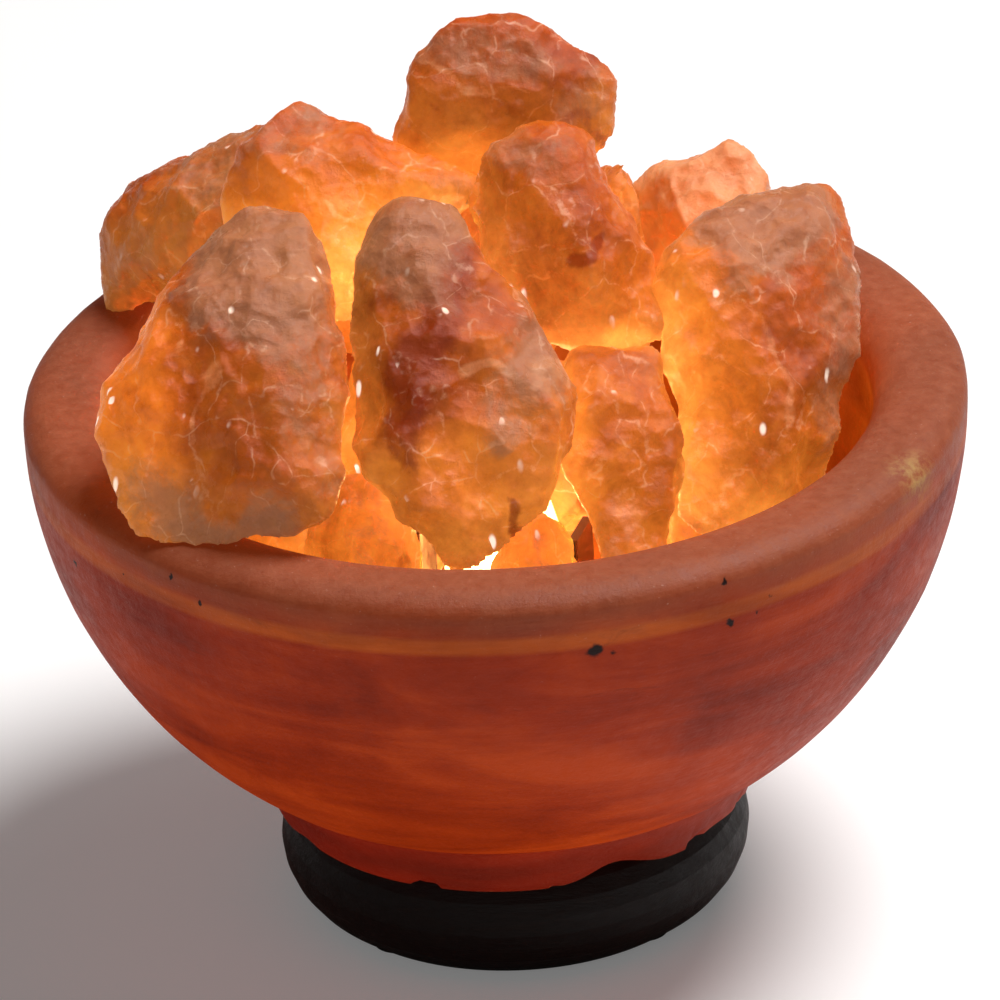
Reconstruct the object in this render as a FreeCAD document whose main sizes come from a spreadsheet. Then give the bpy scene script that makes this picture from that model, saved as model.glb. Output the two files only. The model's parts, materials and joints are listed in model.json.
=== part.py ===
"""Salt bowl lamp: a turned bowl of rock salt on a wooden foot, heaped with rough
salt stones round a small screw-in bulb. Millimetres, +Z up. The origin is the
middle of the underside, on the surface that the lamp stands on."""
import FreeCAD, Part
import math
import os
import Sketcher

Vector = FreeCAD.Vector
Rotation = FreeCAD.Rotation
Placement = FreeCAD.Placement
UP = Vector(0, 0, 1)
ACROSS = Vector(0, 1, 0)
NODE_FOLDER = "parts"

# ---------------------------------------------------------------- driving sizes
SIZES = {
    # wooden base
    "base_radius": 50.6, "base_thick": 24.2, "base_edge_wide": 6.8, "bore_radius": 20.0,
    "groove_wide": 8.0, "groove_deep": 8.0, "pad_radius": 5.5, "pad_thick": 1.5,
    "pad_ring": 37.0,
    # turned salt bowl
    "bowl_radius": 100.0, "bowl_tall": 95.6, "foot_tall": 14.3,
    "foot_radius": 52.0, "foot_neck_radius": 57.5, "crease_radius": 61.3,
    "lip_outer_wide": 7.6, "lip_outer_tall": 4.6, "rim_wall": 20.0,
    "lip_inner_round": 8.0, "floor_thick": 18.3, "floor_radius": 30.0,
    # screws and plugs that hold the bowl to the base
    "screw_ring": 36.0, "screw_radius": 2.0, "screw_head_radius": 4.0,
    "screw_head_tall": 2.6, "screw_sink": 6.0, "screw_long": 31.0,
    "plug_radius": 3.0, "plug_long": 13.0, "fit": 0.05,
    # lamp holder
    "holder_lift": 6.0, "nipple_radius": 4.4, "cord_bore": 3.1,
    "nipple_collar": 6.2, "nipple_collar_tall": 1.6,
    "nut_across": 12.0, "nut_tall": 3.0, "cap_radius": 13.0, "cap_wall": 1.8,
    "cap_floor": 2.4, "cap_tall": 14.0, "cap_overlap": 6.0, "holder_radius": 12.4,
    "holder_top": 50.0, "holder_wall": 2.0, "holder_deck": 4.0,
    "insert_thick": 3.0, "shell_radius": 7.0, "shell_wall": 0.4,
    "shell_tall": 17.0, "shell_flange": 2.2, "tongue_wide": 5.0, "tongue_thick": 0.5,
    "side_strip_wide": 4.0, "side_strip_tall": 7.0, "post_radius": 2.6, "post_tall": 7.0,
    "post_spread": 6.0, "terminal_screw_radius": 1.3, "terminal_screw_long": 6.0,
    "terminal_head_radius": 2.3, "terminal_head_tall": 1.4,
    # spring clip
    "clip_wide": 11.0, "clip_thick": 0.6, "clip_half_base": 14.0,
    "clip_top": 87.0, "clip_fold_radius": 17.2, "clip_fold_gap": 0.8,
    "clip_out_radius": 18.3, "clip_hook_height": 32.0, "clip_turn": -18.0,
    # bulb
    "bulb_seat": 33.0, "cap_shell_radius": 6.95, "cap_shell_wall": 0.3,
    "cap_shell_tall": 17.0, "bulb_cone_tall": 2.2, "bulb_cone_radius": 4.8,
    "tip_radius": 2.6, "tip_tall": 0.9, "glass_neck_radius": 6.3, "glass_radius": 12.5,
    "glass_thick": 0.8, "glass_tall": 47.0, "glass_sink": 3.0, "glass_shoulder": 14.0,
    "stem_radius": 2.4,
    "stem_tall": 16.0, "lead_radius": 0.35, "lead_stub": 1.5, "lead_spread": 5.0,
    "lead_tall": 8.0, "filament_radius": 0.2, "bulb_rise": 11.5,
    # stones and clearances
    "chip_deep": 1.6, "stone_gap": 0.3, "bulb_room": 2.0, "seat_gap": 0.3,
}

doc = FreeCAD.newDocument("SaltBowlLamp")
sheet = doc.addObject("Spreadsheet::Sheet", "Sizes")


class Size:
    """A length that knows its number and the sheet expression it comes from."""

    def __init__(self, number, text=None):
        self.number = float(number)
        self.text = text or repr(float(number))

    def mix(self, other, sign, number):
        return Size(number, "(%s %s %s)" % (self.text, sign, other.text))

    def __add__(self, other):
        other = as_size(other)
        return self.mix(other, "+", self.number + other.number)

    def __sub__(self, other):
        other = as_size(other)
        return self.mix(other, "-", self.number - other.number)

    def __mul__(self, other):
        other = as_size(other)
        return self.mix(other, "*", self.number * other.number)

    def __neg__(self):
        return self * -1.0

    def __float__(self):
        return self.number


def as_size(value):
    return value if isinstance(value, Size) else Size(value)


class Named:
    """The sheet's sizes by name: size.bowl_radius and so on."""


size = Named()


def fill_sheet(values):
    row = len(vars(size))
    for name, number in values.items():
        row += 1
        sheet.set("A%d" % row, name)
        sheet.set("B%d" % row, str(number))
        sheet.setAlias("B%d" % row, name)
        setattr(size, name, Size(number, "Sizes." + name))


fill_sheet(SIZES)

# ---------------------------------------------------------------- building helpers

def plane_of(body, role):
    return [item for item in body.Origin.OriginFeatures if item.Role == role][0]


def new_body(label):
    body = doc.addObject("PartDesign::Body", label + "_body")
    body.Label = label
    return body


def new_sketch(body, role, lift=None):
    """A sketch on one of the body's own planes, lifted along the plane's normal."""
    sketch = body.newObject("Sketcher::SketchObject", body.Label + "_sketch")
    sketch.AttachmentSupport = [(plane_of(body, role), "")]
    sketch.MapMode = "FlatFace"
    if lift is not None:
        sketch.AttachmentOffset = Placement(Vector(0, 0, lift.number), Rotation())
        sketch.setExpression("AttachmentOffset.Base.z", lift.text)
    return sketch


def pin(sketch, kind, geometry, end, value):
    """Fix one coordinate of a sketch point to a size of the sheet."""
    if value.number == 0.0:
        axis = -2 if kind == "DistanceX" else -1
        sketch.addConstraint(Sketcher.Constraint("PointOnObject", geometry, end, axis))
        return
    pinned = Sketcher.Constraint(kind, -1, 1, geometry, end, value.number)
    index = sketch.addConstraint(pinned)
    if "Sizes" in value.text:
        sketch.setExpression("Constraints[%d]" % index, value.text)


def draw_outline(sketch, points):
    """A closed outline of straight edges, each corner (x, y) tied to its sizes."""
    corners = [(as_size(x), as_size(y)) for x, y in points]
    count = len(corners)
    for index, here in enumerate(corners):
        there = corners[(index + 1) % count]
        start = Vector(here[0].number, here[1].number, 0)
        end = Vector(there[0].number, there[1].number, 0)
        sketch.addGeometry(Part.LineSegment(start, end), False)
    for index in range(count):
        after = (index + 1) % count
        sketch.addConstraint(Sketcher.Constraint("Coincident", index, 2, after, 1))
    for index, (x, y) in enumerate(corners):
        pin(sketch, "DistanceX", index, 1, x)
        pin(sketch, "DistanceY", index, 1, y)


def draw_circle(sketch, x, y, radius):
    x, y, radius = as_size(x), as_size(y), as_size(radius)
    circle = Part.Circle(Vector(x.number, y.number, 0), UP, radius.number)
    index = sketch.addGeometry(circle, False)
    pin(sketch, "DistanceX", index, 3, x)
    pin(sketch, "DistanceY", index, 3, y)
    number = sketch.addConstraint(Sketcher.Constraint("Radius", index, radius.number))
    if "Sizes" in radius.text:
        sketch.setExpression("Constraints[%d]" % number, radius.text)


def turn(body, points):
    """Revolve an outline drawn in the XZ plane about the Z axis."""
    sketch = new_sketch(body, "XZ_Plane")
    draw_outline(sketch, points)
    feature = body.newObject("PartDesign::Revolution", body.Label + "_turned")
    feature.Profile = sketch
    feature.ReferenceAxis = (sketch, ["V_Axis"])
    feature.Angle = 360.0
    return body


def lathe(label, points):
    return turn(new_body(label), points)


def cut_up(body, sketch, depth):
    """Pocket a sketch upwards from its plane and check that material went."""
    doc.recompute()
    before = body.Shape.Volume
    pocket = body.newObject("PartDesign::Pocket", body.Label + "_pocket")
    pocket.Profile = sketch
    pocket.Reversed = True
    pocket.Length = depth.number
    pocket.setExpression("Length", depth.text)
    doc.recompute()
    if body.Shape.Volume >= before - 1.0:
        raise ValueError(body.Label + ": the pocket cut nothing")


def pad_up(body, sketch, tall, middle=False):
    pad = body.newObject("PartDesign::Pad", body.Label + "_pad")
    pad.Profile = sketch
    pad.Length = tall.number
    pad.setExpression("Length", tall.text)
    pad.Midplane = middle
    return body


def bind(thing, **values):
    for name, value in values.items():
        value = as_size(value)
        setattr(thing, name, value.number)
        if "Sizes" in value.text:
            thing.setExpression(name, value.text)
    return thing


def place(thing, x, y, z, rotation=None):
    where = [as_size(x), as_size(y), as_size(z)]
    spot = Vector(where[0].number, where[1].number, where[2].number)
    thing.Placement = Placement(spot, rotation or Rotation())
    for axis, value in zip("xyz", where):
        if "Sizes" in value.text:
            thing.setExpression("Placement.Base." + axis, value.text)
    return thing


def cylinder(radius, tall, x, y, z, rotation=None):
    drum = bind(doc.addObject("Part::Cylinder", "drum"), Radius=radius, Height=tall)
    return place(drum, x, y, z, rotation)


def group(label, shapes):
    """One node made of several primitives: touching ones join, others stay apart."""
    fused = doc.addObject("Part::MultiFuse", label + "_fuse")
    fused.Label = label
    fused.Shapes = shapes
    return fused


def ring_spots(angles, radius):
    """Points on a circle as sizes, one for each angle in degrees."""
    spots = []
    for angle in angles:
        turn_by = math.radians(angle)
        spots.append((radius * round(math.cos(turn_by), 9),
                      radius * round(math.sin(turn_by), 9)))
    return spots


def bend(start, upright, sweep, steps):
    """Points along a round stretch from start up to, but not with, the point where it
    stands upright: the part of an ellipse that turns by sweep degrees."""
    whole = math.radians(sweep)
    points = []
    for step in range(steps):
        left = whole * (1 - step / steps)
        across = (math.cos(left) - math.cos(whole)) / (1 - math.cos(whole))
        along = 1 - math.sin(left) / math.sin(whole)
        points.append(between(start, upright, across, along))
    return points


def swell(start, end, steps):
    """Points along a stretch that leaves start and reaches end upright, without end."""
    shares = [step / steps for step in range(steps)]
    return [between(start, end, (1 - math.cos(math.pi * share)) / 2, share) for share in shares]


def between(start, end, across, along):
    x, y = as_size(start[0]), as_size(start[1])
    return x + (end[0] - x) * round(across, 6), y + (end[1] - y) * round(along, 6)


# ---------------------------------------------------------------- levels
base_low = size.pad_thick
base_top = base_low + size.base_thick
crease_level = base_top + size.foot_tall
rim_level = base_top + size.bowl_tall
lip_low = rim_level - size.lip_outer_tall
cavity_level = base_top + size.floor_thick
inner_radius = size.bowl_radius - size.rim_wall
wall_top = rim_level - size.lip_inner_round

# ---------------------------------------------------------------- base and bowl
SCREW_ANGLES = (0, 180, 270)
PAD_ANGLES = (45, 135, 225, 315)
EDGE_SWEEP, BELLY_SWEEP, LIP_SWEEP, CAVITY_SWEEP = 60, 53.5, 90, 71.7
screw_spots = ring_spots(SCREW_ANGLES, size.screw_ring)
pad_spots = ring_spots(PAD_ANGLES, size.pad_ring)


def wooden_base():
    flat = size.base_radius - size.base_edge_wide
    middle = (size.base_radius, base_low + size.base_thick * 0.5)
    lower = bend((flat, base_low), middle, EDGE_SWEEP, 4)
    upper = bend((flat, base_top), middle, EDGE_SWEEP, 4)
    body = lathe("wooden_base", [(size.bore_radius, base_low)] + lower + [middle]
                 + upper[::-1] + [(size.bore_radius, base_top)])
    groove = new_sketch(body, "XY_Plane", base_low)
    half = size.groove_wide * 0.5
    inside = size.bore_radius * 0.5
    outside = size.base_radius * 1.1
    draw_outline(groove, [(-half, inside), (half, inside), (half, outside), (-half, outside)])
    cut_up(body, groove, size.groove_deep)
    for radius, deep in ((size.screw_radius + size.fit, size.base_thick),
                         (size.screw_head_radius + size.fit, size.screw_sink)):
        holes = new_sketch(body, "XY_Plane", base_low)
        for x, y in screw_spots:
            draw_circle(holes, x, y, radius)
        cut_up(body, holes, deep)


def base_pads():
    shapes = []
    for x, y in pad_spots:
        shapes.append(cylinder(size.pad_radius, size.pad_thick, x, y, 0))
    group("base_pads", shapes)


widest = (size.bowl_radius, lip_low)
wall_head = (inner_radius, wall_top)
outer_lip = bend((size.bowl_radius - size.lip_outer_wide, rim_level), widest, LIP_SWEEP, 4)
inner_lip = bend((inner_radius + size.lip_inner_round, rim_level), wall_head, LIP_SWEEP, 4)
cavity = bend((size.floor_radius, cavity_level), wall_head, CAVITY_SWEEP, 8)


def salt_bowl():
    """Turned from one block: foot, crease, belly, rounded rim and hollow."""
    foot = [(size.bore_radius, base_top), (size.foot_radius, base_top),
            (size.foot_neck_radius, crease_level)]
    belly = bend((size.crease_radius, crease_level), widest, BELLY_SWEEP, 8)
    body = lathe("salt_bowl", foot + belly + [widest] + outer_lip[::-1] + inner_lip
                 + [wall_head] + cavity[::-1] + [(size.bore_radius, cavity_level)])
    holes = new_sketch(body, "XY_Plane", base_top)
    for x, y in screw_spots:
        draw_circle(holes, x, y, size.plug_radius)
    cut_up(body, holes, size.plug_long + size.seat_gap)


def screws_and_plugs():
    screws = []
    head_level = base_low + size.screw_sink - size.screw_head_tall
    for x, y in screw_spots:
        screws.append(cylinder(size.screw_head_radius, size.screw_head_tall, x, y, head_level))
        screws.append(cylinder(size.screw_radius, size.screw_long, x, y, head_level))
    group("base_screws", screws)
    plugs = []
    for x, y in screw_spots:
        sleeve = doc.addObject("Part::Cut", "plug")
        sleeve.Base = cylinder(size.plug_radius - size.fit, size.plug_long, x, y, base_top)
        sleeve.Tool = cylinder(size.screw_radius + size.fit, size.plug_long, x, y, base_top)
        plugs.append(sleeve)
    group("screw_plugs", plugs)


wooden_base()
base_pads()
salt_bowl()
screws_and_plugs()

# ---------------------------------------------------------------- lamp holder
cap_low = size.holder_lift + size.nut_tall + size.clip_thick + size.seat_gap
cap_deck = cap_low + size.cap_floor
cap_top = cap_low + size.cap_tall
deck_low = cap_top + size.seat_gap
deck_top = deck_low + size.holder_deck
insert_top = deck_top + size.insert_thick
holder_bore = size.holder_radius - size.holder_wall
shell_low = insert_top
bulb_low = size.bulb_seat
post_low = deck_top - size.post_tall
post_places = (-size.post_spread, size.post_spread)


def holder_cap():
    lathe("holder_cap", [
        (size.nipple_radius + size.fit, cap_low), (size.cap_radius, cap_low),
        (size.cap_radius, cap_top), (size.cap_radius - size.cap_wall, cap_top),
        (size.cap_radius - size.cap_wall, cap_deck),
        (size.nipple_radius + size.fit, cap_deck)])


def holder_body():
    """The upper moulding: a skirt inside the cap, a deck, and a tube round the shell."""
    skirt = size.cap_radius - size.cap_wall - size.fit
    skirt_low = cap_top - size.cap_overlap
    body = lathe("holder_body", [
        (skirt - size.holder_wall, skirt_low), (skirt, skirt_low), (skirt, deck_low),
        (size.holder_radius, deck_low), (size.holder_radius, size.holder_top),
        (holder_bore, size.holder_top), (holder_bore, deck_top), (0, deck_top),
        (0, deck_low), (skirt - size.holder_wall, deck_low)])
    holes = new_sketch(body, "XY_Plane", deck_low)
    for x in post_places:
        draw_circle(holes, x, 0, size.post_radius + size.fit)
    cut_up(body, holes, size.holder_deck)


def inlet_parts():
    collar_top = cap_deck + size.seat_gap + size.nipple_collar_tall
    lathe("inlet_nipple", [
        (size.cord_bore, size.holder_lift), (size.nipple_radius, size.holder_lift),
        (size.nipple_radius, cap_deck + size.seat_gap),
        (size.nipple_collar, cap_deck + size.seat_gap),
        (size.nipple_collar, collar_top), (size.cord_bore, collar_top)])
    body = new_body("clip_nut")
    sketch = new_sketch(body, "XY_Plane", size.holder_lift)
    reach = size.nut_across * (0.5 / math.cos(math.radians(30)))
    corners = ring_spots(range(0, 360, 60), reach)
    draw_outline(sketch, corners)
    draw_circle(sketch, 0, 0, size.nipple_radius + size.fit)
    pad_up(body, sketch, size.nut_tall)


def contact_insert():
    """The insulating disc that carries the contacts, with its two terminal posts."""
    shapes = [cylinder(holder_bore - size.fit, size.insert_thick, 0, 0, deck_top)]
    for x in post_places:
        post = doc.addObject("Part::Cut", "post")
        post.Base = cylinder(size.post_radius, size.post_tall, x, 0, post_low)
        post.Tool = cylinder(size.terminal_screw_radius + size.fit, size.terminal_screw_long,
                             x, 0, post_low)
        shapes.append(post)
    group("contact_insert", shapes)


def terminal_screws():
    shapes = []
    head_low = post_low - size.seat_gap - size.terminal_head_tall
    for x in post_places:
        shapes.append(cylinder(size.terminal_head_radius, size.terminal_head_tall,
                               x, 0, head_low))
        shapes.append(cylinder(size.terminal_screw_radius, size.terminal_screw_long,
                               x, 0, head_low))
    group("terminal_screws", shapes)


def screw_shell():
    outer = size.shell_radius + size.shell_wall
    top = shell_low + size.shell_tall
    lathe("screw_shell", [
        (outer - size.shell_flange, shell_low), (outer, shell_low), (outer, top),
        (size.shell_radius, top), (size.shell_radius, shell_low + size.shell_wall),
        (outer - size.shell_flange, shell_low + size.shell_wall)])


def centre_contact():
    """A springy tongue on the insert that the bulb's tip presses on."""
    body = new_body("centre_contact")
    sketch = new_sketch(body, "XZ_Plane")
    thick = size.tongue_thick
    rise = bulb_low - size.seat_gap - size.tongue_thick * 0.5
    near = size.shell_radius - size.shell_flange - size.shell_wall
    draw_outline(sketch, [
        (-near, insert_top), (near, insert_top), (near, insert_top + thick),
        (thick * 2 - near, insert_top + thick), (0, rise), (near * 0.5, rise - thick),
        (near * 0.5, rise), (0, rise + thick * 0.5), (-near, insert_top + thick)])
    pad_up(body, sketch, size.tongue_wide, middle=True)


def side_contact():
    """An angled strip that touches the outside of the screw shell."""
    body = new_body("side_contact")
    sketch = new_sketch(body, "XZ_Plane")
    near = size.shell_radius + size.shell_wall + size.fit
    far = holder_bore - size.seat_gap
    thick = size.tongue_thick
    draw_outline(sketch, [
        (near, insert_top), (far, insert_top), (far, insert_top + thick),
        (near + thick, insert_top + thick), (near + thick, insert_top + size.side_strip_tall),
        (near, insert_top + size.side_strip_tall)])
    pad_up(body, sketch, size.side_strip_wide, middle=True)


# ---------------------------------------------------------------- spring clip
def spring_clip():
    """One strip: a flat bridge, two rising legs, each folded back down outside."""
    low = cap_low - size.seat_gap - size.clip_thick
    inner = size.clip_fold_radius
    gap = size.clip_fold_gap
    thick = size.clip_thick
    out = size.clip_out_radius
    top = size.clip_top
    hook = size.clip_hook_height
    foot = size.clip_half_base
    right = [
        (foot, low), (inner, low + thick * 8), (inner, top - thick),
        (inner + gap, top - thick), (out, hook), (inner + gap, hook - thick * 5),
        (inner + gap + thick, hook - thick * 5), (out + thick, hook),
        (inner + gap + thick, top), (inner - thick, top),
        (inner - thick, low + thick * 8), (foot - thick, low + thick)]
    left = [(-x, z) for x, z in reversed(right)]
    body = new_body("spring_clip")
    sketch = new_sketch(body, "XZ_Plane")
    draw_outline(sketch, left + right)
    pad_up(body, sketch, size.clip_wide, middle=True)
    hole = new_sketch(body, "XY_Plane", low)
    draw_circle(hole, 0, 0, size.nipple_radius + size.fit)
    cut_up(body, hole, thick)
    body.Placement = Placement(Vector(), Rotation(UP, size.clip_turn.number))
    body.setExpression("Placement.Rotation.Angle", size.clip_turn.text)


# ---------------------------------------------------------------- bulb
cap_shell_low = bulb_low + size.tip_tall + size.bulb_cone_tall
cap_shell_top = cap_shell_low + size.cap_shell_tall
glass_low = cap_shell_top - size.glass_sink
glass_top = glass_low + size.glass_tall


def bulb():
    wall = size.cap_shell_wall
    inner = size.cap_shell_radius - wall
    lathe("bulb_screw_cap", [
        (size.bulb_cone_radius, cap_shell_low), (size.cap_shell_radius, cap_shell_low),
        (size.cap_shell_radius, cap_shell_top), (inner, cap_shell_top),
        (inner, cap_shell_low + wall), (size.bulb_cone_radius, cap_shell_low + wall)])
    cone_low = bulb_low + size.tip_tall
    lathe("bulb_insulator", [
        (0, cone_low), (size.tip_radius, cone_low),
        (size.bulb_cone_radius, cap_shell_low), (size.bulb_cone_radius - size.fit, cap_shell_low),
        (size.bulb_cone_radius - size.fit, cap_shell_low + wall), (0, cap_shell_low + wall)])
    lathe("bulb_tip", [(0, bulb_low), (size.tip_radius * 0.5, bulb_low),
                       (size.tip_radius, cone_low), (0, cone_low)])


def bulb_glass():
    """A thin envelope, open at its neck, with a swelling shoulder and a domed top."""
    skins = []
    for wall, steps in ((size.glass_thick * 0.0, 3), (size.glass_thick, 2)):
        neck = size.glass_neck_radius - wall
        wide = size.glass_radius - wall
        neck_top = cap_shell_top + size.glass_thick
        shoulder = (wide, neck_top + size.glass_shoulder)
        waist = (wide, glass_top - size.glass_radius)
        flare = swell((neck, neck_top), shoulder, steps)
        dome = bend((0, glass_top - wall), waist, LIP_SWEEP, steps)
        skins.append([(neck, glass_low)] + flare + [shoulder, waist] + dome[::-1])
    lathe("bulb_glass", skins[0] + skins[1][::-1])


def bulb_inside():
    stem_low = glass_low + size.glass_thick
    stem_top = stem_low + size.stem_tall
    neck_inside = size.glass_neck_radius - size.glass_thick - size.fit
    lathe("bulb_stem", [
        (0, glass_low), (neck_inside, glass_low), (neck_inside, stem_low),
        (size.stem_radius, stem_low + size.glass_thick), (size.stem_radius, stem_top),
        (0, stem_top)])
    wires = []
    foot = size.stem_radius * 0.6
    arm_low = stem_top + size.lead_stub - size.lead_radius
    lean = math.atan2((size.lead_spread - foot).number, size.lead_tall.number)
    for side in (-1, 1):
        tilt = Rotation(ACROSS, side * math.degrees(lean))
        wires.append(cylinder(size.lead_radius, size.lead_stub, foot * side, 0, stem_top))
        wires.append(cylinder(size.lead_radius, size.lead_tall * (1 / math.cos(lean)),
                              foot * side, 0, arm_low, tilt))
    group("lead_wires", wires)
    spans = []
    step = 20
    span_long = size.lead_spread * (2 * math.sin(math.radians(step / 2))) + size.filament_radius * 0.5
    spots = ring_spots(range(0, 180, step), size.lead_spread)
    for number, (x, rise) in enumerate(spots):
        tilt = Rotation(ACROSS, -step * (number + 0.5))
        level = arm_low + size.lead_tall + size.lead_radius + rise
        spans.append(cylinder(size.filament_radius, span_long, x, 0, level, tilt))
    group("filament", spans)


holder_cap()
holder_body()
inlet_parts()
contact_insert()
terminal_screws()
screw_shell()
centre_contact()
side_contact()
spring_clip()
bulb()
bulb_glass()
bulb_inside()

# ---------------------------------------------------------------- rough salt stones
# A stone is the hull of its corners. Corners are percent of its wide, deep and tall
# sizes, measured from its middle, with x to the right, y away and z up the stone.
RUBBLE = [
    (-50, -15, -10), (-25, -50, 15), (21, -45, -15), (50, -11, 4), (29, 39, -10),
    (-21, 50, 10), (-35, 5, -50), (15, -15, -50), (25, 20, -46), (-21, -11, 50),
    (25, -15, 46), (4, 30, 40)]
INNER_LEFT = [
    (-50, -7, 19), (-16, -7, 50), (19, -7, 45), (50, -7, 14), (0, -50, 29), (34, -50, 22),
    (-16, 50, 22), (-34, 43, 0), (-28, -7, -47), (16, 7, -50), (28, -29, -33)]
INNER_RIGHT = [
    (-50, -8, 22), (-28, -8, 45), (15, -8, 50), (50, -8, 38), (46, -8, 17),
    (-15, -50, 29), (20, -50, 31), (2, 50, 33), (15, 42, 3), (2, -8, -50), (-33, 0, -40)]
PALE_REAR = [
    (-50, -7, 19), (6, -7, 46), (17, -7, 50), (43, -7, 29), (50, -7, 0), (-41, -7, -23),
    (8, -50, 21), (36, -50, 17), (-6, 50, 23), (-20, 50, -8), (3, -7, -50), (-24, 7, -42)]
SLIM_REAR = [
    (-18, -10, 41), (14, -10, 50), (41, -10, 34), (50, -10, 10), (-50, -10, 17),
    (14, -43, 38), (-5, -50, 21), (-14, 50, 24), (-5, 50, 5), (-14, -10, -50),
    (-41, 17, -43), (41, 3, -40)]
LEFT_RIM = [
    (-50, -3, -21), (-44, -3, 7), (4, -3, 38), (31, -3, 50), (50, -3, 3), (25, -3, -38),
    (-33, -3, -50), (-8, -44, -1), (31, -50, -1), (-42, 44, 7), (-8, 50, -11)]
REAR_LEFT = [
    (-24, -9, 42), (9, -9, 50), (28, -9, 43), (50, -9, 14), (-50, -9, 23),
    (-13, -44, 40), (-9, -50, 14), (20, 44, 25), (24, 50, 4), (-2, -9, -50),
    (28, 15, -42), (-39, -3, -38)]
CORE = [
    (-50, -16, 5), (-28, -50, 17), (28, -50, -2), (50, -4, 11), (37, 47, 5),
    (-28, 50, -2), (-33, -16, -47), (15, -21, -50), (24, 24, -44), (-24, -16, 47),
    (20, -21, 50), (7, 24, 47)]
MIDDLE_LEFT = [
    (-50, -6, 29), (-37, -6, 42), (-25, -6, 50), (50, -6, 12), (20, -6, -38),
    (-20, -6, -50), (-48, -6, -33), (-22, -39, 27), (22, -39, 12), (-5, -50, -19),
    (-25, 44, 35), (24, 44, 8), (-16, 50, -17)]
CENTRE_RIGHT = [
    (-31, -9, 35), (0, -9, 50), (17, -9, 44), (48, -9, 12), (50, -9, -41), (17, -9, -50),
    (-12, -9, -39), (-50, -9, 12), (5, -44, 20), (17, -50, -22), (29, 50, -16)]
SMALL_REAR = [
    (-39, -8, 28), (-3, -8, 50), (29, -8, 39), (50, -8, -6), (-50, -8, -13),
    (-8, -50, 31), (8, 50, 6), (8, -8, -50)]
FRONT_SLIM = [
    (-27, -10, 50), (44, -10, 45), (50, -10, 22), (44, -10, -6), (-34, -10, -20),
    (-50, -10, 4), (-5, -50, 29), (18, -43, -4), (21, 50, 32), (11, 37, -4),
    (-5, -3, -50), (27, 3, -47)]
RIGHT_BIG = [
    (-31, -6, 41), (6, -6, 49), (31, -6, 50), (50, -6, 44), (44, -6, 8), (-50, -6, -33),
    (-39, -6, 16), (-31, -50, 28), (17, -44, 34), (-20, -50, -11), (17, 50, 38),
    (24, 38, 12), (-17, 38, -10), (-26, -6, -50), (-11, 6, -50)]
LEFT_FRONT = [
    (-17, -12, 50), (3, -12, 47), (22, -12, 38), (41, -12, 6), (50, -12, -31),
    (41, -12, -41), (3, -12, -50), (-20, -12, -49), (-50, -12, -23), (-46, -12, -6),
    (-15, -44, 23), (-22, -44, -17), (20, -50, 17), (34, -44, -29), (-34, 50, 37),
    (6, 50, -10), (-27, 25, -23)]
FRONT_CENTRE = [
    (-23, -12, 50), (-5, -12, 47), (30, -12, 26), (50, -12, -10), (23, -12, -37),
    (-5, -12, -50), (-13, -12, -49), (-50, -12, -17), (-44, -12, 15), (-30, -12, 44),
    (15, -50, 14), (38, -38, -6), (-7, -50, 18), (-26, -44, -14), (-15, 44, 35),
    (15, 50, 1), (-15, 31, -22)]
TOP = [
    (-50, -10, -26), (-27, -10, 34), (-15, -10, 50), (13, -10, 42), (38, -10, 16),
    (50, -10, -13), (38, -10, -42), (-2, -10, -50), (-37, -10, -42), (-23, -30, 32),
    (10, -50, 11), (-10, -43, -11), (-12, 43, 21), (25, 50, -5), (-2, 50, -37)]

# In the order in which they are laid, lowest first:
# name, corners, wide, deep, tall, x and y in percent of the bowl's radius, how far the
# top tips back, turn about Z
STONES = [
    ("floor_left", RUBBLE, 48, 38, 48, -43, 0, 10, 75),
    ("floor_rear_left", RUBBLE, 46, 38, 50, -25, 37, -8, 140),
    ("floor_rear", RUBBLE, 42, 36, 48, 20, 38, 6, 200),
    ("floor_right", RUBBLE, 48, 36, 48, 44, 2, -8, 265),
    ("inner_left", INNER_LEFT, 32, 28, 58, -29, -41, 20, -15),
    ("inner_right", INNER_RIGHT, 23, 24, 58, 7, -42, 20, 5),
    ("rear_middle", RUBBLE, 38, 30, 48, 2, 62, -14, 12),
    ("pale_rear", PALE_REAR, 43, 28, 52, 46, 53, 20, -25),
    ("slim_rear", SLIM_REAR, 22, 30, 58, 27, 33, 10, -10),
    ("left_rim", LEFT_RIM, 48, 34, 51, -60, 42, 30, -40),
    ("rear_left", REAR_LEFT, 27, 34, 59, -32, 60, 10, 20),
    ("core", CORE, 46, 35, 33, 1, 20, 6, 20),
    ("middle_left", MIDDLE_LEFT, 53, 36, 48, -28, 2, 30, -6),
    ("centre_right", CENTRE_RIGHT, 42, 34, 53, 13, -3, 32, 8),
    ("small_rear", SMALL_REAR, 19, 24, 27, -21, 28, 15, 10),
    ("front_slim", FRONT_SLIM, 31, 30, 61, 25, -53, 40, 14),
    ("right_big", RIGHT_BIG, 54, 32, 77, 57, -13, 36, 24),
    ("left_front", LEFT_FRONT, 57, 32, 78, -51, -42, 46, -26),
    ("front_centre", FRONT_CENTRE, 51, 32, 78, -6, -52, 42, 0),
    ("top", TOP, 52, 30, 38, 4, 20, 18, 0),
]
for stone in STONES:
    fill_sheet({stone[0] + "_wide": stone[2], stone[0] + "_deep": stone[3],
                stone[0] + "_tall": stone[4]})

TINY = 1e-6
FLAT = 1e-4
BLUNT = 0.82
FAR = (1e9, Vector())


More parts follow.
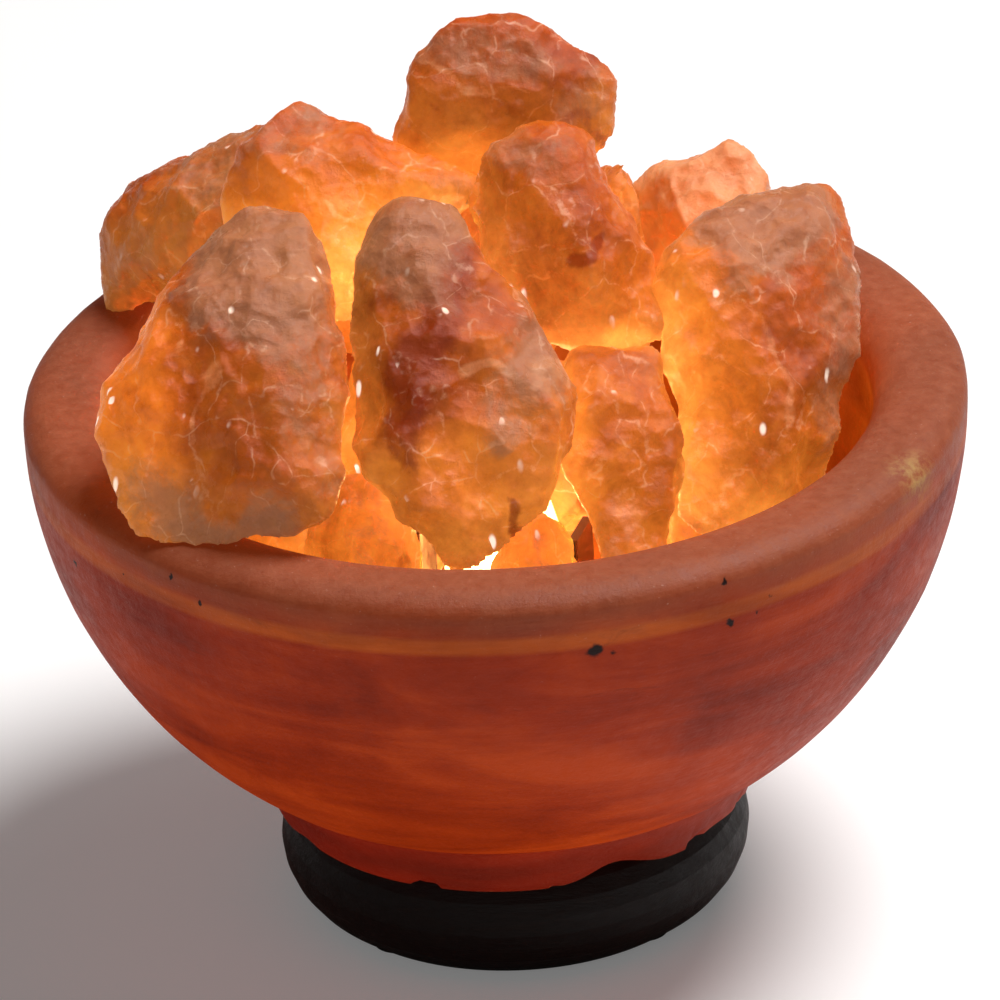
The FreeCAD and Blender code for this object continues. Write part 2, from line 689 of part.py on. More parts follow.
class Lump:
    """A convex solid held as corners, faces and edges, so that it can be laid."""

    def __init__(self, faces):
        self.corners, self.faces = [], []
        found, edges = {}, set()
        for normal, ring in faces:
            loop = []
            for point in ring:
                key = (round(point.x, 5), round(point.y, 5), round(point.z, 5))
                if key not in found:
                    found[key] = len(self.corners)
                    self.corners.append(point)
                if found[key] not in loop:
                    loop.append(found[key])
            if len(loop) > 2:
                self.faces.append((normal, loop))
                for first, last in zip(loop, loop[1:] + loop[:1]):
                    edges.add((min(first, last), max(first, last)))
        self.edges = sorted(edges)

    def moved(self, step):
        return self.changed(lambda point: point + step, lambda normal: normal)

    def turned(self, rotation):
        return self.changed(rotation.multVec, rotation.multVec)

    def changed(self, move_point, move_normal):
        copy = Lump([])
        copy.corners = [move_point(corner) for corner in self.corners]
        copy.faces = [(move_normal(normal), loop) for normal, loop in self.faces]
        copy.edges = self.edges
        return copy

    def low_and_high(self, x, y):
        """The lowest and highest level of the solid over a point, or None beside it."""
        low, high = -1e9, 1e9
        for normal, loop in self.faces:
            anchor = self.corners[loop[0]]
            rest = normal.dot(anchor) - normal.x * x - normal.y * y
            if normal.z > FLAT:
                high = min(high, rest / normal.z)
            elif normal.z < -FLAT:
                low = max(low, rest / normal.z)
            elif rest < 0:
                return None
        return (low, high) if low <= high + TINY else None

    def box(self):
        xs = [point.x for point in self.corners]
        ys = [point.y for point in self.corners]
        return min(xs), max(xs), min(ys), max(ys)

    def solid(self):
        faces = []
        for normal, loop in self.faces:
            ring = [self.corners[index] for index in loop + loop[:1]]
            faces.append(Part.Face(Part.makePolygon(ring)))
        return Part.Solid(Part.Shell(faces))


def first_of(pair):
    return pair[0]


def in_order(normal, points):
    """The points of a flat convex face, in order round it."""
    middle = Vector()
    for point in points:
        middle = middle + point * (1.0 / len(points))
    right = (points[0] - middle).normalize()
    front = normal.cross(right)
    order = []
    for index, point in enumerate(points):
        arm = point - middle
        order.append((math.atan2(arm.dot(front), arm.dot(right)), index))
    return [points[index] for angle, index in sorted(order)]


def hull_faces(corners):
    """The faces of the hull: each an outward normal and its corners in order."""
    found = {}
    count = len(corners)
    for i in range(count):
        for j in range(i + 1, count):
            for k in range(j + 1, count):
                normal = (corners[j] - corners[i]).cross(corners[k] - corners[i])
                if normal.Length < TINY:
                    continue
                normal.normalize()
                offsets = [normal.dot(point - corners[i]) for point in corners]
                if max(offsets) > FLAT and min(offsets) < -FLAT:
                    continue
                if max(offsets) > FLAT:
                    normal = normal * -1
                members = tuple(n for n in range(count) if abs(offsets[n]) <= FLAT)
                found[members] = normal
    faces = []
    for members, normal in sorted(found.items()):
        faces.append((normal, in_order(normal, [corners[index] for index in members])))
    return faces


def split_off(faces, normal, offset):
    """Take away what lies beyond a plane, and close the solid with a flat face."""
    kept, rim = [], []
    for facing, ring in faces:
        left = []
        for here, there in zip(ring, ring[1:] + ring[:1]):
            before, after = normal.dot(here) - offset, normal.dot(there) - offset
            if before <= 0:
                left.append(here)
            if before * after < 0:
                meet = here + (there - here) * (before / (before - after))
                left.append(meet)
                rim.append(meet)
        if len(left) > 2:
            kept.append((facing, left))
    if len(rim) > 2:
        kept.append((normal, in_order(normal, rim)))
    return kept


def chipped(whole, seats, deep):
    """Break the sharp edges, each at its own slant and depth, as salt splits, but leave
    the seats: the spots where the stone touches what carries it or what it carries."""
    faces = [(normal, [whole.corners[n] for n in loop]) for normal, loop in whole.faces]
    for number, (first, last) in enumerate(whole.edges):
        beside = [normal for normal, loop in whole.faces if first in loop and last in loop]
        if beside[0].dot(beside[1]) > BLUNT:
            continue
        start = whole.corners[first]
        run = whole.corners[last] - start
        middle = start + run * 0.5
        lean = (beside[0] - beside[1]) * (0.3 * math.cos(number * 1.7))
        slant = run.normalize() * (0.3 * math.sin(number * 2.4))
        out = (beside[0] + beside[1] + lean + slant).normalize()
        level = out.dot(middle) - deep * (1 + 0.6 * math.sin(number * 3.1))
        if all(out.dot(seat) < level for seat in seats):
            faces = split_off(faces, out, level)
    return Lump(faces)


def edge_drops(upper, lower):
    """Where edges of the two lumps cross as seen from above: each drop and its spot."""
    for a, b in upper.edges:
        start, run = upper.corners[a], upper.corners[b] - upper.corners[a]
        for c, d in lower.edges:
            base, way = lower.corners[c], lower.corners[d] - lower.corners[c]
            cross = run.x * way.y - run.y * way.x
            if abs(cross) < TINY:
                continue
            dx, dy = base.x - start.x, base.y - start.y
            along = (dx * way.y - dy * way.x) / cross
            across = (dx * run.y - dy * run.x) / cross
            if 0 <= along <= 1 and 0 <= across <= 1:
                spot = start + run * along
                yield spot.z - base.z - across * way.z, spot


def drop_onto(upper, lower):
    """How far the upper lump can fall before it meets the lower one, and the spot of
    the upper lump that meets it."""
    left, right, near, far = upper.box()
    left_2, right_2, near_2, far_2 = lower.box()
    if left > right_2 or left_2 > right or near > far_2 or near_2 > far:
        return FAR
    drops = list(edge_drops(upper, lower))
    for point in upper.corners:
        span = lower.low_and_high(point.x, point.y)
        if span:
            drops.append((point.z - span[1], point))
    for point in lower.corners:
        span = upper.low_and_high(point.x, point.y)
        if span:
            drops.append((span[0] - point.z, Vector(point.x, point.y, span[0])))
    return min(drops, key=first_of, default=FAR)


BOWL_TOP = [(0.0, cavity_level.number)]
for corner in cavity + [wall_head] + inner_lip[::-1] + outer_lip + [widest]:
    BOWL_TOP.append((corner[0].number, corner[1].number))


def bowl_level(radius):
    """The level of the bowl's upper surface at a distance from its axis."""
    for (near, low), (far, high) in zip(BOWL_TOP, BOWL_TOP[1:]):
        if near <= radius <= far:
            return low + (high - low) * (radius - near) / (far - near)
    return -1e3


def lip_points():
    """Points on the rounded rim, close enough together to lay a stone on."""
    inner, outer = inner_radius.number, size.bowl_radius.number
    steps = 14
    rings = [inner + (outer - inner) * (0.02 + 0.96 * n / steps) for n in range(steps + 1)]
    points = []
    for ring in rings:
        level = bowl_level(ring)
        for angle in range(0, 360, 3):
            way = math.radians(angle)
            points.append(Vector(ring * math.cos(way), ring * math.sin(way), level))
    return points


def drop_into_bowl(lump, rim):
    drops = [(point.z - bowl_level(math.hypot(point.x, point.y)), point)
             for point in lump.corners]
    left, right, near, far = lump.box()
    for point in rim:
        if left <= point.x <= right and near <= point.y <= far:
            span = lump.low_and_high(point.x, point.y)
            if span:
                drops.append((span[0] - point.z, Vector(point.x, point.y, span[0])))
    return min(drops, key=first_of)


def column(radius, top):
    """A twelve-sided space on the axis that the stones keep out of."""
    reach = radius / math.cos(math.radians(15))
    corners = []
    for level in (base_top.number, top):
        for angle in range(0, 360, 30):
            way = math.radians(angle)
            corners.append(Vector(reach * math.cos(way), reach * math.sin(way), level))
    return Lump(hull_faces(corners))


def lay_stones():
    """Lower each stone straight down until it rests on the bowl or on other stones."""
    rim = lip_points()
    room = size.bulb_room
    lamp_space = column((size.glass_radius + room).number,
                        (glass_top + size.bulb_rise + room * 0.25).number)
    clip_space = column((size.bore_radius + size.seat_gap).number,
                        (size.clip_top + room * 0.5).number)
    laid = [lamp_space, clip_space]
    seats = [[], []]
    start = 2 * (rim_level + size.bowl_tall).number
    scale = size.bowl_radius.number * 0.01
    for name, shape, wide, deep, tall, x, y, lean, about in STONES:
        full = Vector(*[sheet.get(name + end) for end in ("_wide", "_deep", "_tall")])
        local = [Vector(a * full.x, b * full.y, c * full.z) * 0.01 for a, b, c in shape]
        facing = Rotation(UP, about).multiply(Rotation(Vector(1, 0, 0), -lean))
        high = Lump(hull_faces(local)).turned(facing).moved(Vector(x * scale, y * scale, start))
        drops = [drop_onto(high, other) for other in laid]
        carrier = min(range(len(laid)), key=lambda n: drops[n][0])
        fall, spot = min(drops[carrier], drop_into_bowl(high, rim), key=first_of)
        step = Vector(0, 0, size.stone_gap.number - fall)
        seats.append([spot + step])
        if fall == drops[carrier][0]:
            seats[carrier].append(spot - Vector(0, 0, fall))
        laid.append(high.moved(step))
    for stone, whole, spots in zip(STONES, laid[2:], seats[2:]):
        feature = doc.addObject("Part::Feature", "stone_" + stone[0])
        feature.Label = "stone_" + stone[0]
        feature.Shape = chipped(whole, spots, size.chip_deep.number).solid()
        print("%s reaches up to %.1f" % (feature.Label, feature.Shape.BoundBox.ZMax))


doc.recompute()
lay_stones()

# ---------------------------------------------------------------- check and write
NODES = [
    "salt_bowl", "wooden_base", "base_pads", "base_screws", "screw_plugs", "holder_cap",
    "holder_body", "inlet_nipple", "clip_nut", "contact_insert", "terminal_screws",
    "screw_shell", "centre_contact", "side_contact", "spring_clip", "bulb_screw_cap",
    "bulb_insulator", "bulb_tip", "bulb_glass", "bulb_stem", "lead_wires", "filament"]
NODES += ["stone_" + stone[0] for stone in STONES]


def check_and_write():
    doc.recompute()
    for item in doc.Objects:
        if "Invalid" in item.State or "Error" in item.State:
            raise ValueError("%s is %s" % (item.Label, item.State))
    os.makedirs(NODE_FOLDER, exist_ok=True)
    for label in NODES:
        item = doc.getObjectsByLabel(label)[0]
        if item.Shape.isNull() or not item.Shape.isValid() or not item.Shape.Solids:
            raise ValueError(label + " has no sound solid")
        item.Shape.exportStep(os.path.join(NODE_FOLDER, label + ".step"))
    print("wrote %d nodes" % len(NODES))


check_and_write()
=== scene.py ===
"""Salt bowl lamp: the looks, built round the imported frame.
Metres, +Z up. The front, as photographed, faces -Y. MM turns millimetres into metres."""
import json
import math

import bpy
import numpy as np
from mathutils import Matrix, Vector


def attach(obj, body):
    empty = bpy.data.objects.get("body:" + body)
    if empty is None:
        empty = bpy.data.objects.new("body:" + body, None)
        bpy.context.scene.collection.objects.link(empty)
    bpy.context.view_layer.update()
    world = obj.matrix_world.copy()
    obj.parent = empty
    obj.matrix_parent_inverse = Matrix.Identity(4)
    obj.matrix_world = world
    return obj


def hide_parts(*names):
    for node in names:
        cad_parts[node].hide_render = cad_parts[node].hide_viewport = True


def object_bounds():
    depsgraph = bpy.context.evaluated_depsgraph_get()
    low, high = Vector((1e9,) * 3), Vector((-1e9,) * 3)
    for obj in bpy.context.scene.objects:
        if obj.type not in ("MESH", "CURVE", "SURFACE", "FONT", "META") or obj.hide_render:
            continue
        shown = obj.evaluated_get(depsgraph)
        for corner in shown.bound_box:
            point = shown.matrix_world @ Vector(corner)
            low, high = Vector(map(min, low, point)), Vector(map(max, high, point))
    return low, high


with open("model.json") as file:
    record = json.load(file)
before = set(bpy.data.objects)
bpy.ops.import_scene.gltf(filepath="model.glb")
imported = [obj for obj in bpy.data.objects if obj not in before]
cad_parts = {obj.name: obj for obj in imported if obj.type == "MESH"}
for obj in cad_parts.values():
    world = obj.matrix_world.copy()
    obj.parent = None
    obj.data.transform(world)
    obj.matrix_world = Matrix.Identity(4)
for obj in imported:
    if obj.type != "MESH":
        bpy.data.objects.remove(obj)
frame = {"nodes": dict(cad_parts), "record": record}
cad_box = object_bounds()
MM = 0.001
NODES = frame["nodes"]
BODY_OF = {}
for body_name, members in frame["record"]["behaviour"]["bodies"].items():
    for member in members:
        BODY_OF[member] = body_name
scene = bpy.context.scene
scene.view_settings.view_transform = "Standard"


# ---------------------------------------------------------------- camera, stage, lights
def linear(red, green, blue):
    """A colour as seen on screen, 0 to 255, in the linear values that shaders take."""
    out = []
    for channel in (red, green, blue):
        share = channel / 255
        low = share / 12.92
        out.append(low if share <= 0.04045 else ((share + 0.055) / 1.055) ** 2.4)
    return out


def link_object(name, data):
    item = bpy.data.objects.new(name, data)
    scene.collection.objects.link(item)
    return item


def aim_camera():
    """The photograph's viewpoint, solved from the ellipses of rim, crease and base."""
    pitch, roll = math.radians(27.779), math.radians(-2.776)
    forward = Vector((0, math.cos(pitch), -math.sin(pitch)))
    level = Vector((1, 0, 0))
    above = level.cross(forward)
    right = level * math.cos(roll) + above * math.sin(roll)
    top = above * math.cos(roll) - level * math.sin(roll)
    data = bpy.data.cameras.new("camera")
    data.sensor_width = 36.0
    data.lens = 344.16
    data.clip_end = 20
    camera = link_object("camera", data)
    turned = Matrix((right, top, -forward)).transposed().to_4x4()
    camera.matrix_world = Matrix.Translation((0, -1.79958, 1.039815)) @ turned
    scene.camera = camera


def area_light(name, place, target, wide, power, colour):
    data = bpy.data.lights.new(name, "AREA")
    data.shape = "DISK"
    data.size = wide
    data.energy = power
    data.color = colour
    lamp = link_object(name, data)
    lamp.location = place
    away = Vector(target) - Vector(place)
    lamp.rotation_euler = away.to_track_quat("-Z", "Y").to_euler()


def light_scene():
    middle = (0, 0, 0.1)
    area_light("key", (0.62, 0.2, 1.6), middle, 0.8, 34, (1.0, 0.98, 0.96))
    area_light("front_fill", (-0.3, -1.7, 1.1), middle, 0.8, 0.9, (1.0, 0.95, 0.9))
    area_light("top_fill", (0.7, 0.5, 1.5), middle, 1.0, 1.6, (1.0, 0.98, 0.95))
    world = bpy.data.worlds.new("studio")
    scene.world = world
    world.use_nodes = True
    nodes, links = world.node_tree.nodes, world.node_tree.links
    nodes.clear()
    out = nodes.new("ShaderNodeOutputWorld")
    mix = nodes.new("ShaderNodeMixShader")
    path = nodes.new("ShaderNodeLightPath")
    seen = nodes.new("ShaderNodeBackground")
    seen.inputs["Color"].default_value = (0.96, 0.96, 0.965, 1)
    glow = nodes.new("ShaderNodeBackground")
    glow.inputs["Color"].default_value = (1.0, 0.95, 0.9, 1)
    glow.inputs["Strength"].default_value = 0.05
    rays = nodes.new("ShaderNodeMath")
    rays.operation = "MAXIMUM"
    links.new(path.outputs["Is Camera Ray"], rays.inputs[0])
    links.new(path.outputs["Is Transmission Ray"], rays.inputs[1])
    links.new(rays.outputs[0], mix.inputs[0])
    links.new(glow.outputs[0], mix.inputs[1])
    links.new(seen.outputs[0], mix.inputs[2])
    links.new(mix.outputs[0], out.inputs[0])


# ---------------------------------------------------------------- shader building
class Paint:
    """A material under construction. Values that are sockets are linked, others set."""

    def __init__(self, name):
        self.material = bpy.data.materials.new(name)
        self.material.use_nodes = True
        self.tree = self.material.node_tree
        self.tree.nodes.clear()

    def set(self, socket, value):
        if isinstance(value, bpy.types.NodeSocket):
            self.tree.links.new(value, socket)
        elif hasattr(value, "__len__") and len(value) == 3 and socket.type == "RGBA":
            socket.default_value = (*value, 1.0)
        else:
            socket.default_value = value

    def node(self, kind, inputs=None, **settings):
        made = self.tree.nodes.new("ShaderNode" + kind)
        for name, value in settings.items():
            setattr(made, name, value)
        for name, value in (inputs or {}).items():
            self.set(made.inputs[name], value)
        return made

    def math(self, kind, first, second=0.0, third=0.0):
        return self.node("Math", {0: first, 1: second, 2: third}, operation=kind).outputs[0]

    def spread(self, value, low, high, to_low=0.0, to_high=1.0, smooth=True):
        kind = "SMOOTHSTEP" if smooth else "LINEAR"
        made = self.node("MapRange", {"Value": value, "From Min": low, "From Max": high,
                                      "To Min": to_low, "To Max": to_high},
                         interpolation_type=kind)
        return made.outputs[0]

    def mix(self, share, first, second, kind="MIX"):
        made = self.node("Mix", data_type="RGBA", blend_type=kind)
        self.set(made.inputs[0], share)
        self.set(made.inputs[6], first)
        self.set(made.inputs[7], second)
        return made.outputs[2]

    def noise(self, where, scale, detail=4.0, rough=0.55, bend=0.0):
        made = self.node("TexNoise", {"Vector": where, "Scale": scale, "Detail": detail,
                                      "Roughness": rough, "Distortion": bend})
        return made.outputs["Fac"]

    def place(self, shift=(0, 0, 0), turn=(0, 0, 0), stretch=(1, 1, 1)):
        where = self.node("TexCoord").outputs["Object"]
        moved = self.node("Mapping", {"Vector": where, "Location": shift,
                                      "Rotation": turn, "Scale": stretch})
        return moved.outputs[0]

    def ramp(self, value, stops):
        made = self.node("ValToRGB", {"Fac": value})
        marks = made.color_ramp.elements
        while len(marks) < len(stops):
            marks.new(0.5)
        for mark, (spot, colour) in zip(marks, stops):
            mark.position = spot
            mark.color = (*colour, 1.0)
        return made.outputs[0]

    def bump(self, height, strength, depth, before=None):
        made = self.node("Bump", {"Height": height, "Strength": strength, "Distance": depth})
        if before is not None:
            self.set(made.inputs["Normal"], before)
        return made.outputs[0]

    def finish(self, shader):
        out = self.node("OutputMaterial")
        self.tree.links.new(shader, out.inputs["Surface"])
        return self.material

    def principled(self, **inputs):
        made = self.node("BsdfPrincipled")
        for name, value in inputs.items():
            self.set(made.inputs[name.replace("_", " ")], value)
        return self.finish(made.outputs[0])


def wear(obj, material):
    obj.data.materials.clear()
    obj.data.materials.append(material)


def make_floor():
    data = bpy.data.meshes.new("floor")
    half = 4.0
    data.from_pydata([(-half, -half, 0), (half, -half, 0), (half, half, 0), (-half, half, 0)],
                     [], [(0, 1, 2, 3)])
    floor = link_object("floor", data)
    paint = Paint("pale_floor")
    speckle = paint.noise(paint.place(), 900.0, 2.0)
    tone = paint.mix(speckle, (0.84, 0.84, 0.85), (0.88, 0.88, 0.885))
    seen = paint.node("LightPath").outputs["Is Camera Ray"]
    lift = paint.math("MULTIPLY", seen, 0.16)
    wear(floor, paint.principled(Base_Color=tone, Roughness=0.9, Specular_IOR_Level=0.1,
                                 Emission_Color=(1.0, 1.0, 1.0), Emission_Strength=lift))


# ---------------------------------------------------------------- random fields in space
def lattice(points, cell, seed):
    """Smooth random values from -1 to 1 at points, varying over about one cell."""
    spot = points / cell
    base = np.floor(spot).astype(np.int64)
    part = spot - base
    part = part * part * (3 - 2 * part)
    total = np.zeros(len(points))
    for corner in range(8):
        step = np.array([corner & 1, corner >> 1 & 1, corner >> 2 & 1])
        key = (base + step) * np.array([73856093, 19349663, 83492791])
        mixed = (key[:, 0] ^ key[:, 1] ^ key[:, 2]) + seed * 2654435761
        mixed = (mixed ^ (mixed >> 13)) * 1274126177 & 0x7FFFFFFF
        mixed = (mixed ^ (mixed >> 16)) * 668265263 & 0x7FFFFFFF
        value = mixed / 0x3FFFFFFF - 1
        share = np.where(step, part, 1 - part).prod(1)
        total += value * share
    return total


def clouds(points, cell, seed, layers=3, fade=0.5):
    total, weight = np.zeros(len(points)), 1.0
    for layer in range(layers):
        total += weight * lattice(points, cell, seed + layer * 101)
        cell, weight = cell * 0.5, weight * fade
    return total


def scallops(points, spacing, bend, tilt, seed):
    """Dished flakes that meet in sharp ridges, like broken glass or salt."""
    rng = np.random.default_rng(seed)
    low, high = points.min(0) - spacing, points.max(0) + spacing
    count = int(np.prod((high - low) / spacing))
    seeds = low + rng.random((count, 3)) * (high - low)
    lean = rng.normal(0, tilt, (count, 3))
    lift = rng.normal(0, tilt * spacing * 0.3, count)
    best = np.full(len(points), np.inf)
    for first in range(0, count, 64):
        span = slice(first, first + 64)
        apart = points[:, None, :] - seeds[None, span, :]
        value = (apart ** 2).sum(2) / (2 * bend) + (apart * lean[None, span, :]).sum(2)
        best = np.minimum(best, (value + lift[None, span]).min(1))
    return best


# ---------------------------------------------------------------- mesh helpers
def mesh_points(mesh):
    flat = np.empty(len(mesh.vertices) * 3, np.float32)
    mesh.vertices.foreach_get("co", flat)
    return flat.reshape(-1, 3).astype(float)


def mesh_normals(mesh):
    flat = np.empty(len(mesh.vertices) * 3, np.float32)
    mesh.vertices.foreach_get("normal", flat)
    return flat.reshape(-1, 3).astype(float)


def move_points(mesh, points):
    mesh.vertices.foreach_set("co", points.astype(np.float32).ravel())
    mesh.update()


def remeshed(source, name, voxel):
    """A copy of a CAD node's mesh as an even net of small faces."""
    piece = link_object(name, source.data.copy())
    net = piece.modifiers.new("net", "REMESH")
    net.mode = "VOXEL"
    net.voxel_size = voxel
    graph = bpy.context.evaluated_depsgraph_get()
    mesh = bpy.data.meshes.new_from_object(piece.evaluated_get(graph))
    piece.modifiers.clear()
    piece.data = mesh
    mesh.name = name
    return piece


# ---------------------------------------------------------------- light through the salt
STONE_NODES = sorted(name for name in NODES if name.startswith("stone_"))


def face_planes(node):
    """The flat faces of a CAD stone as outward normals and offsets."""
    mesh = NODES[node].data
    found = {}
    for face in mesh.polygons:
        normal = face.normal
        offset = normal.dot(mesh.vertices[face.vertices[0]].co)
        found[tuple(round(value, 3) for value in normal)] = (*normal, offset)
    planes = np.array(list(found.values()))
    return planes[:, :3], planes[:, 3]


STONE_PLANES = {name: face_planes(name) for name in STONE_NODES}
LAMP_SPOTS = [(0, 0, 84), (0, 0, 62), (22, 0, 74), (-22, 0, 74), (0, 26, 74), (0, -24, 78),
              (-34, -18, 90), (34, -22, 88), (0, -40, 70)]
LAMP_WEIGHTS = [3.0, 2.0, 1.2, 1.2, 1.2, 1.5, 1.0, 1.0, 1.0]


def salt_on_the_way(points, lamp):
    """How much stone lies between each point and the lamp, in metres."""
    way = lamp - points
    length = np.linalg.norm(way, axis=1)
    total = np.zeros(len(points))
    for normals, offsets in STONE_PLANES.values():
        rate = way @ normals.T
        room = offsets[None, :] - points @ normals.T
        safe = np.where(np.abs(rate) < 1e-12, 1e-12, rate)
        meet = room / safe
        enter = np.where(rate < 0, meet, 0.0).max(1).clip(0, 1)
        leave = np.where(rate > 0, meet, 1.0).min(1).clip(0, 1)
        total += np.maximum(leave - enter, 0.0) * length
    return total, length


LAMP_COLOUR = np.array([1.0, 0.36, 0.06])
FADE = np.array([8.0, 22.0, 45.0])
REACH = 0.06


def glow_through(points, extra=0.0):
    """The lamp's light that comes out of the salt at each point, yellow where the way
    through is short and red where it is long."""
    total = np.zeros((len(points), 3))
    for spot, weight in zip(LAMP_SPOTS, LAMP_WEIGHTS):
        salt, far = salt_on_the_way(points, np.array(spot) * MM)
        fall = weight / (1 + (far / REACH) ** 2)
        total += fall[:, None] * np.exp(-(salt + extra)[:, None] * FADE[None, :])
    return total * LAMP_COLOUR / sum(LAMP_WEIGHTS)


# ---------------------------------------------------------------- rough salt stones
class Look:
    """What sets one stone apart. Patches are (across, up, half width, half height, how
    much) and streaks (across, up, across, up, width, how much), as shares of the stone's
    box seen from the front. Swollen patches stand out by millimetres."""

    def __init__(self, seed, gain=1.0, crust=(), pale=(), red=(), hot=(), swollen=()):
        self.seed, self.gain = seed, gain
        self.crust, self.pale, self.red, self.hot = crust, pale, red, hot
        self.swollen = swollen


# crust patches: grey crust with painted sheen, set mostly on the stones' tops and right sides where
# the light falls
LOOKS = {
    "stone_top": Look(
        3, 1.5, crust=[(0.5, 0.85, 0.5, 0.22, 0.55), (0.9, 0.45, 0.14, 0.3, 0.5)],
        red=[(0.86, 0.45, 0.97, 0.1, 0.05, 0.6), (0.2, 0.5, 0.35, 0.3, 0.04, 0.4)],
        pale=[(0.2, 0.75, 0.6, 0.6, 0.03, 0.6)], hot=[(0.4, 0.1, 0.5, 0.2, 0.5)],
        swollen=[(1.0, 0.4, 0.4, 0.5, 1.5)]),
    "stone_front_centre": Look(
        11, 1.0, crust=[(0.3, 0.95, 0.34, 0.16, 0.8), (0.85, 0.6, 0.24, 0.18, 0.7)],
        pale=[(0.55, 0.69, 0.93, 0.5, 0.03, 0.7)],
        red=[(0.43, 0.83, 0.16, 0.38, 0.1, 0.8), (0.72, 0.25, 0.78, 0.12, 0.04, 0.8)],
        hot=[(0.55, 0.2, 0.4, 0.3, 0.7), (0.1, 0.3, 0.2, 0.3, 0.4)],
        swollen=[(0.25, 1.0, 0.4, 0.3, 3.0), (1.0, 0.5, 0.3, 0.3, 1.5)]),
    "stone_left_front": Look(
        17, 1.0, crust=[(0.7, 0.9, 0.4, 0.26, 1.0), (0.42, 0.1, 0.5, 0.14, 0.7),
                        (0.85, 0.5, 0.2, 0.4, 0.5)],
        pale=[(0.3, 0.6, 0.4, 0.3, 0.03, 0.5)],
        hot=[(0.08, 0.5, 0.2, 0.4, 1.6)], swollen=[(0.0, 0.45, 0.3, 0.3, 1.5)]),
    "stone_right_big": Look(
        23, 1.0, crust=[(0.55, 0.95, 0.5, 0.14, 0.9), (0.9, 0.5, 0.2, 0.4, 0.6)],
        pale=[(0.45, 0.7, 0.55, 0.3, 0.03, 0.5)],
        hot=[(0.1, 0.55, 0.28, 0.4, 1.2), (0.3, 0.15, 0.3, 0.15, 0.5)],
        swollen=[(1.0, 0.5, 0.4, 0.4, 4.0)]),
    "stone_front_slim": Look(
        29, 1.35, pale=[(0.5, 0.35, 0.25, 0.2, 0.5)], crust=[(0.3, 0.3, 0.3, 0.2, 0.4)],
        hot=[(0.1, 0.6, 0.2, 0.3, 0.6)]),
    "stone_centre_right": Look(
        31, 1.2, crust=[(0.35, 0.92, 0.3, 0.12, 0.5)],
        red=[(0.5, 0.6, 0.3, 0.25, 0.4), (0.55, 0.5, 0.62, 0.5, 0.03, 1.0)],
        hot=[(0.6, 0.05, 0.6, 0.12, 1.0)]),
    "stone_middle_left": Look(
        37, 1.5, crust=[(0.25, 0.97, 0.3, 0.1, 0.5)], pale=[(0.3, 0.8, 0.8, 0.6, 0.03, 0.5)],
        hot=[(0.6, 0.4, 0.6, 0.5, 0.8)]),
    "stone_left_rim": Look(
        41, 0.9, crust=[(0.6, 0.9, 0.5, 0.2, 0.6)], red=[(0.2, 0.2, 0.7, 0.4, 0.12, 0.4)]),
    "stone_pale_rear": Look(43, 1.0, pale=[(0.5, 0.5, 0.8, 0.8, 1.0)]),
}
PLAIN_LOOK = Look(47, 1.35, red=[(0.2, 0.2, 0.8, 0.7, 0.06, 0.6)],
                  crust=[(0.6, 0.8, 0.4, 0.3, 0.4)])


def marks(across, up, features):
    """The strongest of a list of patches and streaks at each point, from 0 to about 1."""
    total = np.zeros(len(across))
    for mark in features:
        if len(mark) == 5:
            x, z, wide, tall, much = mark
            apart = np.hypot((across - x) / wide, (up - z) / tall)
        else:
            x, z, x_end, z_end, wide, much = mark
            run = np.array([x_end - x, z_end - z])
            share = ((across - x) * run[0] + (up - z) * run[1]) / (run @ run)
            share = share.clip(0, 1)
            apart = np.hypot(across - x - share * run[0], up - z - share * run[1]) / wide
        total = np.maximum(total, much * np.clip(1.45 - apart, 0, 1))
    return total


def paint_points(mesh, name, colours):
    attribute = mesh.attributes.new(name, "FLOAT_COLOR", "POINT")
    filled = np.ones((len(colours), 4), np.float32)
    filled[:, :3] = colours
    attribute.data.foreach_set("color", filled.ravel())


def glints(paint, where, scale, rarity):
    """A mask of painted glints: small bright spots gathered in clusters."""
    cells = paint.node("TexVoronoi", {"Vector": where, "Scale": scale, "Randomness": 1.0})
    pick = paint.node("SeparateXYZ", {0: cells.outputs["Color"]}).outputs[0]
    chosen = paint.spread(pick, rarity, rarity + 0.01)
    small = paint.spread(cells.outputs["Distance"], 0.5, 0.25)
    gathered = paint.spread(paint.noise(where, 70.0, 3.0), 0.5, 0.62)
    return paint.math("MULTIPLY", chosen, paint.math("MULTIPLY", small, gathered))


